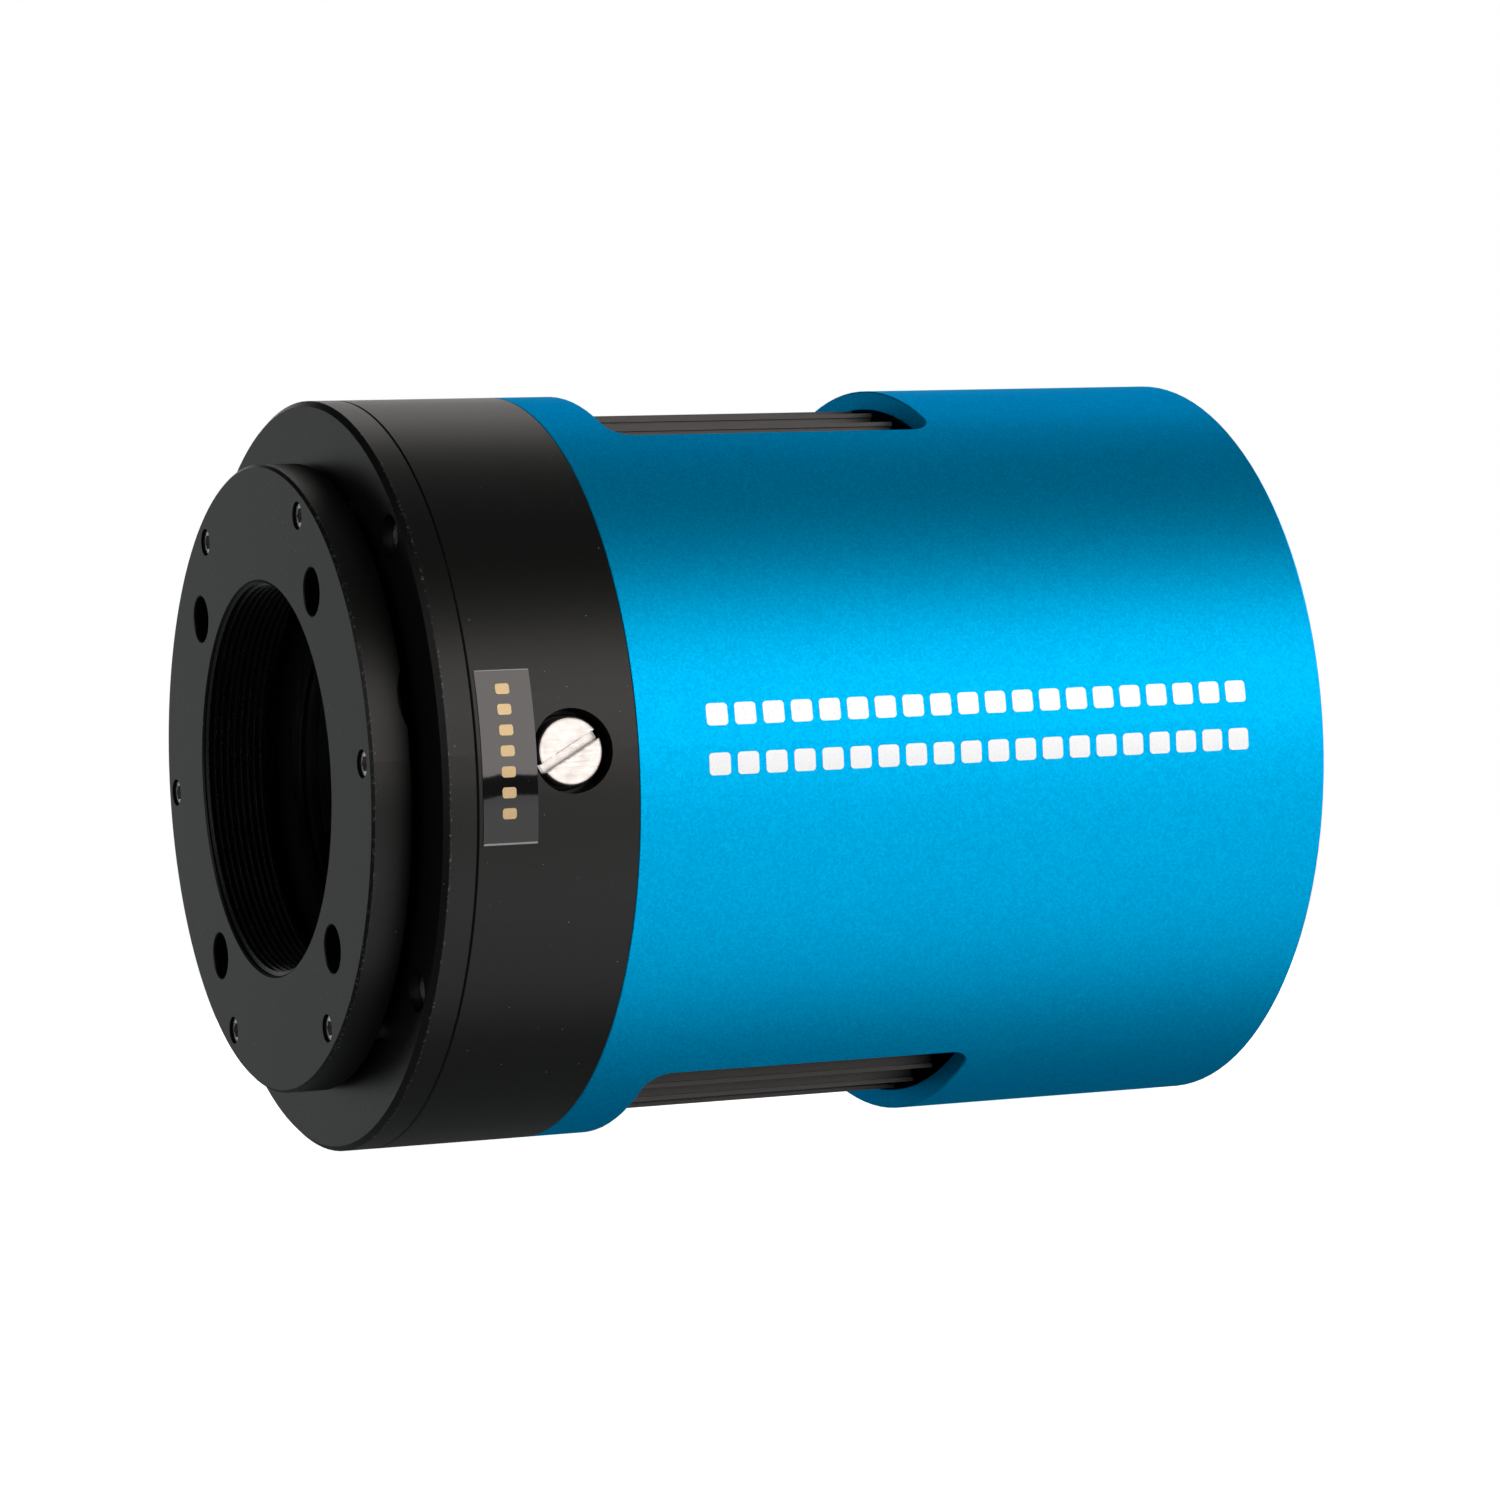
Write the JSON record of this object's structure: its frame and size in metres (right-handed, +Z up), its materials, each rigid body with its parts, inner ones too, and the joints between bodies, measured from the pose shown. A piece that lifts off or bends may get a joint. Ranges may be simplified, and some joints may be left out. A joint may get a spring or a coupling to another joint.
{
  "type": "guide camera",
  "caption": "Cooled cylindrical telescope camera: tilt plate with M42 thread, sealed sensor chamber with desiccant plug, finned heat sink and fan inside a windowed shell.",
  "frame": {"origin": "centre of the front mounting face, where the M42 thread and the four adapter holes open", "axes": "the optical axis is Y: the front face looks along -Y and the body runs to +Y; +Z is up; +X is the side with the desiccant plug"},
  "size_m": [0.0801, 0.1064, 0.08],
  "materials": {
    "black_anodised": "bead-blasted satin black anodised",
    "sink_anodised": "extruded, black anodised",
    "blue_anodised": "fine bead-blasted blue anodised",
    "steel": "turned stainless steel",
    "bare_aluminium": "machined",
    "brass": "turned",
    "rubber": "moulded matte",
    "foam": "closed-cell foam",
    "coated_glass": "polished, anti-reflection coated",
    "clear_film": "clear glossy film",
    "heater_film": "polyimide film",
    "ceramic": "fired, matte",
    "silicon": "polished",
    "board": "solder-masked laminate",
    "black_plastic": "moulded",
    "dark_iron": "laminated and coated",
    "white_plastic": "moulded",
    "desiccant": "pressed tablet",
    "indicator": "moulded lens"
  },
  "bodies": {
    "housing": {"flange_ring": "black_anodised", "flange_screws": "steel", "flange_o_ring": "rubber", "chamber_body": "black_anodised", "window_retaining_ring": "black_anodised", "window_heater": "heater_film", "chamber_window": "coated_glass", "window_gasket": "rubber", "tamper_label": "clear_film", "sensor_mask": "black_anodised", "sensor_cover_glass": "coated_glass", "sensor_package": "ceramic", "sensor_die": "silicon", "sensor_socket": "black_plastic", "sensor_board": "board", "sensor_board_standoffs": "bare_aluminium", "sensor_board_screws": "steel", "cold_finger": "bare_aluminium", "cooler_upper_stage": "ceramic", "cooler_lower_stage": "ceramic", "insulation_foam": "foam", "rear_o_ring": "rubber", "sensor_ribbon": "heater_film", "cooler_leads": "black_plastic", "heat_sink": "sink_anodised", "heat_sink_screws": "steel", "outer_shell": "blue_anodised", "fan_frame": "black_plastic", "fan_stator": "dark_iron", "fan_posts": "bare_aluminium", "fan_screws": "steel", "fan_leads": "black_plastic", "chassis_posts": "bare_aluminium", "board_studs": "steel", "main_board": "board", "processor_chip": "black_plastic", "memory_chips": "black_plastic", "receiver_module": "steel", "board_spacers": "brass", "port_board": "board", "usb_b_socket": "steel", "usb_a_sockets": "steel", "power_socket": "black_plastic", "antenna_socket": "brass", "status_light": "indicator", "rear_cover": "black_anodised", "rear_cover_screws": "steel"},
    "tilt_seal": {"tilt_seal_ring": "rubber"},
    "tilt_plate": {"tilt_plate": "black_anodised", "pull_screws": "steel"},
    "push_screw_1": {"push_screw_1": "steel"},
    "push_screw_2": {"push_screw_2": "steel"},
    "push_screw_3": {"push_screw_3": "steel"},
    "plug_seal": {"plug_o_ring": "rubber"},
    "plug": {"desiccant_plug": "steel", "desiccant_holder": "white_plastic", "desiccant_tablets": "desiccant"},
    "fan_rotor": {"fan_rotor": "black_plastic", "fan_magnet": "dark_iron", "fan_shaft": "steel"}
  },
  "joints": [
    {"name": "tilt_tip", "type": "hinge", "parent": "housing", "child": "tilt_seal", "pos_m": [0, 0.00535, 0], "axis": [1, 0, 0], "range_deg": [-0.5, 0.5]},
    {"name": "tilt_swing", "type": "hinge", "parent": "tilt_seal", "child": "tilt_plate", "pos_m": [0, 0.00535, 0], "axis": [0, 0, 1], "range_deg": [-0.5, 0.5]},
    {"name": "push_screw_1_turn", "type": "hinge", "parent": "tilt_plate", "child": "push_screw_1", "pos_m": [0.03075, 0.0025, 0], "axis": [0, -1, 0], "range_deg": [-230, 230]},
    {"name": "push_screw_2_turn", "type": "hinge", "parent": "tilt_plate", "child": "push_screw_2", "pos_m": [-0.01537, 0.0025, 0.02663], "axis": [0, -1, 0], "range_deg": [-230, 230]},
    {"name": "push_screw_3_turn", "type": "hinge", "parent": "tilt_plate", "child": "push_screw_3", "pos_m": [-0.01537, 0.0025, -0.02663], "axis": [0, -1, 0], "range_deg": [-230, 230]},
    {"name": "plug_travel", "type": "slide", "parent": "housing", "child": "plug_seal", "axis": [1, 0, 0], "range_m": [0, 0.00375]},
    {"name": "plug_turn", "type": "hinge", "parent": "plug_seal", "child": "plug", "pos_m": [0.0367, 0.0193, 0], "axis": [1, 0, 0], "range_deg": [0, 1800]},
    {"name": "fan_spin", "type": "hinge", "parent": "housing", "child": "fan_rotor", "pos_m": [0, 0.0757, 0], "axis": [0, 1, 0], "continuous": true}
  ],
  "couplings": [
    {"joint": "plug_turn", "follows": "plug_travel", "rad_per_m": 8377.6}
  ]
}
